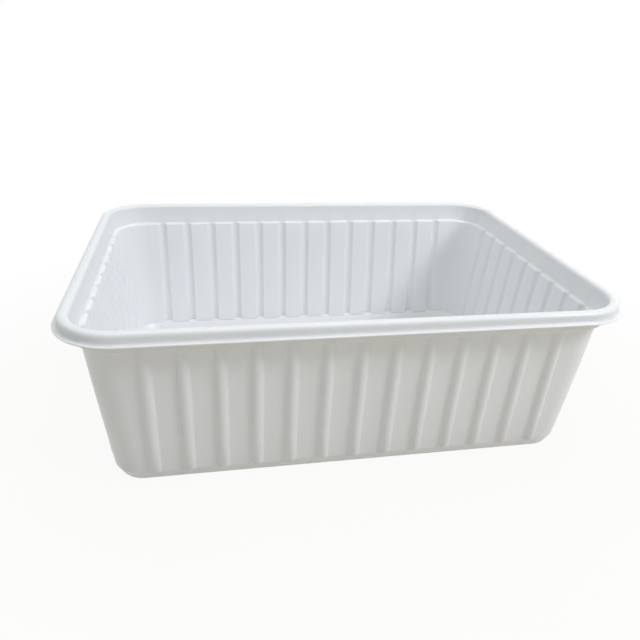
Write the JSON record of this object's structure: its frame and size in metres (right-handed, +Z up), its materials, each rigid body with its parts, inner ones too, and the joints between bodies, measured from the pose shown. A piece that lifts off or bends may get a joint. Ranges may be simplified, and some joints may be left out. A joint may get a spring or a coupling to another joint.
{
  "type": "thermoformed plastic tray",
  "caption": "Deep rectangular tray thermoformed from one plastic sheet, with ribbed leaning walls, a stacking shoulder and a rolled rim that flares into a lip.",
  "frame": {"origin": "middle of the base, on the surface the tray stands on", "axes": "+Z up out of the tray, +X along its long side"},
  "size_m": [0.4, 0.3, 0.13],
  "materials": {
    "tray_sheet": "white formed sheet, satin to glossy"
  },
  "bodies": {
    "root": {"tray": "tray_sheet"}
  },
  "joints": []
}
